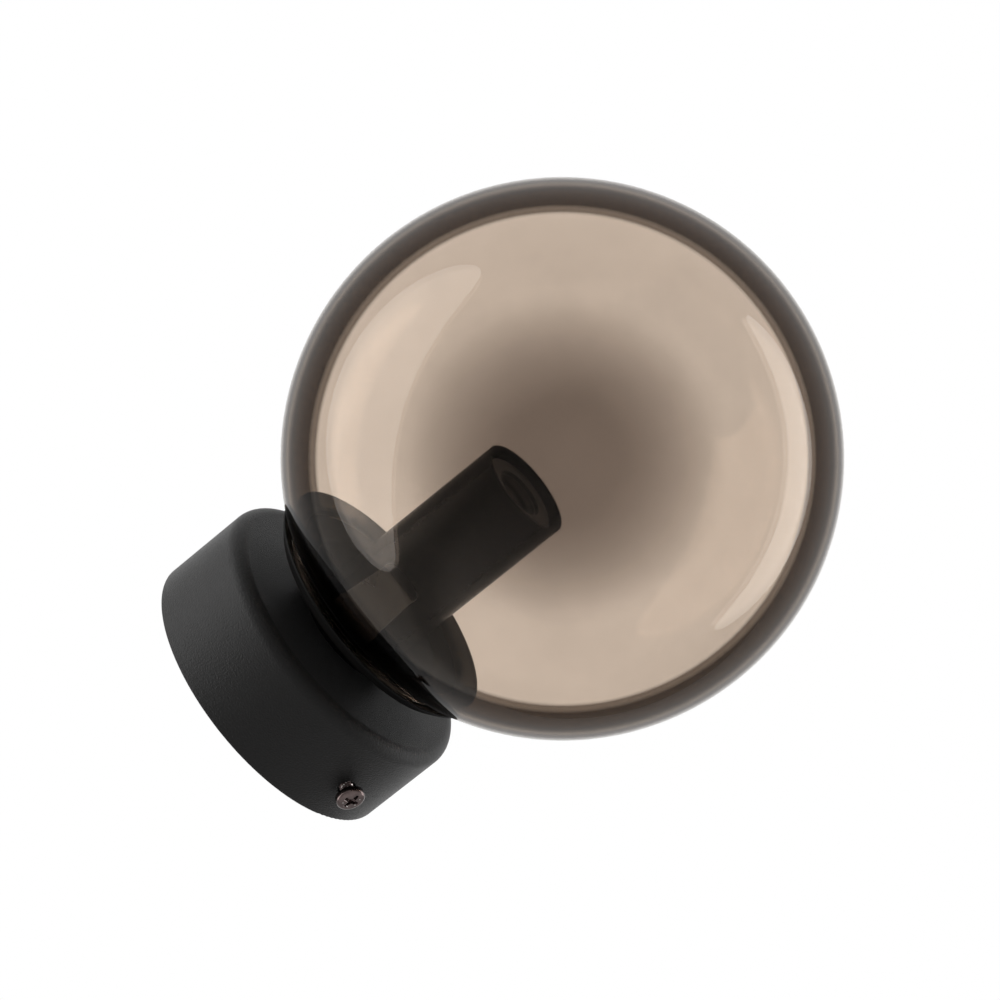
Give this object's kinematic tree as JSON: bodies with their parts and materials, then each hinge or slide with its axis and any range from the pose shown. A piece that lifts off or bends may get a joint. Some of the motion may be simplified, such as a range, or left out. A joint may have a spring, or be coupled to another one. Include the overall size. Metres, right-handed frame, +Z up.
{
  "type": "globe wall sconce",
  "caption": "Wall light with a smoked glass globe gripped by spring clips in a black dish on a round canopy, with a sleeved lampholder inside.",
  "frame": {"origin": "on the wall plane, on the lamp's axis: the centre of the bracket's two wall slots", "axes": "+Z up the wall, -Y out of the wall along the lamp's axis, +X to the right of someone facing the wall"},
  "size_m": [0.15, 0.1834, 0.15],
  "materials": {
    "bracket_zinc": "zinc plated sheet",
    "canopy_black": "matte black powder coat, fine texture",
    "screw_steel": "dark nickel",
    "gallery_black": "matte black powder coat",
    "globe_glass": "smoked grey-brown, mirror polished",
    "clip_spring": "black oxide spring steel",
    "rivet_steel": "steel",
    "sleeve_black": "smooth satin black",
    "zinc_steel": "zinc plated",
    "holder_plastic": "black thermoplastic",
    "shell_nickel": "nickel plated",
    "brass": "plain brass",
    "block_nylon": "natural nylon",
    "ring_tin": "tinned copper",
    "lead_brown": "brown insulation",
    "lead_blue": "blue insulation",
    "lead_earth": "green and yellow insulation"
  },
  "bodies": {
    "fixture": {"wall_bracket": "bracket_zinc", "canopy": "canopy_black", "canopy_screws": "screw_steel", "gallery": "gallery_black", "glass_clips": "clip_spring", "clip_rivets": "rivet_steel", "lamp_sleeve": "sleeve_black", "nipple": "zinc_steel", "lock_washer": "zinc_steel", "canopy_nut": "zinc_steel", "gallery_nut": "zinc_steel", "holder_cap": "holder_plastic", "holder_body": "holder_plastic", "screw_shell": "shell_nickel", "centre_contact": "brass", "holder_terminals": "brass", "terminal_block": "block_nylon", "terminal_inserts": "brass", "terminal_screws": "zinc_steel", "block_screws": "zinc_steel", "earth_ring": "ring_tin", "earth_screw": "zinc_steel", "live_lead": "lead_brown", "neutral_lead": "lead_blue", "earth_lead": "lead_earth"},
    "globe": {"glass_globe": "globe_glass"}
  },
  "joints": [
    {"name": "globe_pull", "type": "slide", "parent": "fixture", "child": "globe", "axis": [0, -1, 0], "range_m": [0, 0.06]}
  ]
}
